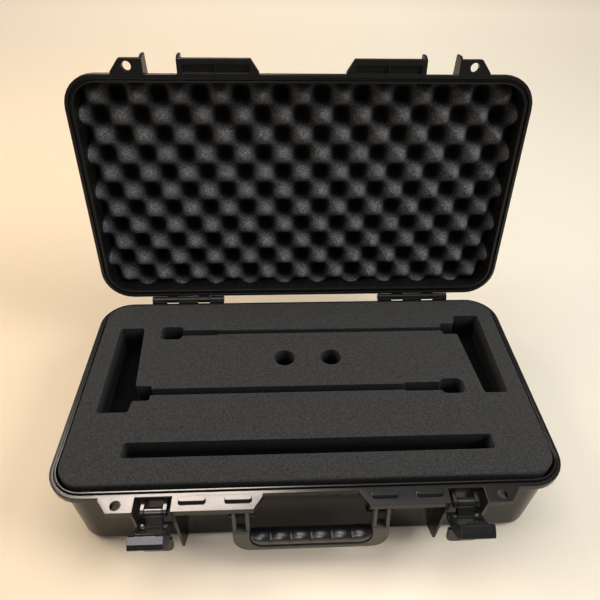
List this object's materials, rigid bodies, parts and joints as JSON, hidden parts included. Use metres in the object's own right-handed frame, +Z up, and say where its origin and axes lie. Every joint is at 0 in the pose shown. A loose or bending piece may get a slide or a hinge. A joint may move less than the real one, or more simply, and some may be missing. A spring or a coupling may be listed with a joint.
{
  "type": "microphone case",
  "caption": "Hard moulded case standing open, with egg-crate foam in the lid, cut foam for microphones in the base, draw latches and a folding handle.",
  "frame": {"origin": "centre of the flat underside of the base", "axes": "+X to the right seen from the front, +Y from the handle to the hinges, +Z up"},
  "size_m": [0.54, 0.434, 0.4271],
  "materials": {
    "moulded_shell": "fine satin moulded black, roughness 0.38",
    "foam": "open-cell dark grey foam, roughness 0.95",
    "gasket_rubber": "soft black rubber, roughness 0.7",
    "hinge_plastic": "satin black, roughness 0.35",
    "latch_plastic": "satin black, roughness 0.3",
    "handle_frame": "matte black, roughness 0.5",
    "handle_grip": "glossy black soft grip, roughness 0.22",
    "pin_steel": "darkened steel, roughness 0.35"
  },
  "bodies": {
    "base": {"base_shell": "moulded_shell", "base_foam_top": "foam", "base_foam_bottom": "foam", "hinge_leaf_base_left": "hinge_plastic", "hinge_leaf_base_right": "hinge_plastic", "hinge_pin_left": "pin_steel", "hinge_pin_right": "pin_steel", "hinge_screw_base_left_inner": "pin_steel", "hinge_screw_base_left_outer": "pin_steel", "hinge_screw_base_right_inner": "pin_steel", "hinge_screw_base_right_outer": "pin_steel", "latch_pivot_pin_left": "pin_steel", "latch_pivot_pin_right": "pin_steel", "handle_pin_left": "pin_steel", "handle_pin_right": "pin_steel"},
    "lid": {"lid_shell": "moulded_shell", "lid_gasket": "gasket_rubber", "lid_foam": "foam", "hinge_leaf_lid_left": "hinge_plastic", "hinge_leaf_lid_right": "hinge_plastic", "hinge_screw_lid_left_inner": "pin_steel", "hinge_screw_lid_left_outer": "pin_steel", "hinge_screw_lid_right_inner": "pin_steel", "hinge_screw_lid_right_outer": "pin_steel"},
    "handle": {"handle_frame": "handle_frame", "handle_grip": "handle_grip"},
    "lever_left": {"latch_lever_left": "latch_plastic", "latch_link_pin_left": "pin_steel"},
    "hook_left": {"latch_hook_left": "latch_plastic"},
    "lever_right": {"latch_lever_right": "latch_plastic", "latch_link_pin_right": "pin_steel"},
    "hook_right": {"latch_hook_right": "latch_plastic"}
  },
  "joints": [
    {"name": "lid_hinge", "type": "hinge", "parent": "base", "child": "lid", "pos_m": [0, 0.152, 0.114], "axis": [1, 0, 0], "range_deg": [0, 98]},
    {"name": "handle_swing", "type": "hinge", "parent": "base", "child": "handle", "pos_m": [0, -0.153, 0.0975], "axis": [-1, 0, 0], "range_deg": [0, 77]},
    {"name": "lever_swing_left", "type": "hinge", "parent": "base", "child": "lever_left", "pos_m": [-0.158, -0.155, 0.0995], "axis": [1, 0, 0], "range_deg": [0, 25]},
    {"name": "hook_swing_left", "type": "hinge", "parent": "lever_left", "child": "hook_left", "pos_m": [-0.158, -0.16302, 0.08349], "axis": [-1, 0, 0], "range_deg": [0, 81]},
    {"name": "lever_swing_right", "type": "hinge", "parent": "base", "child": "lever_right", "pos_m": [0.158, -0.155, 0.0995], "axis": [1, 0, 0], "range_deg": [0, 25]},
    {"name": "hook_swing_right", "type": "hinge", "parent": "lever_right", "child": "hook_right", "pos_m": [0.158, -0.16302, 0.08349], "axis": [-1, 0, 0], "range_deg": [0, 81]}
  ],
  "couplings": [
    {"joint": "hook_swing_left", "follows": "lever_swing_left", "ratio": 3.24},
    {"joint": "hook_swing_right", "follows": "lever_swing_right", "ratio": 3.24}
  ]
}
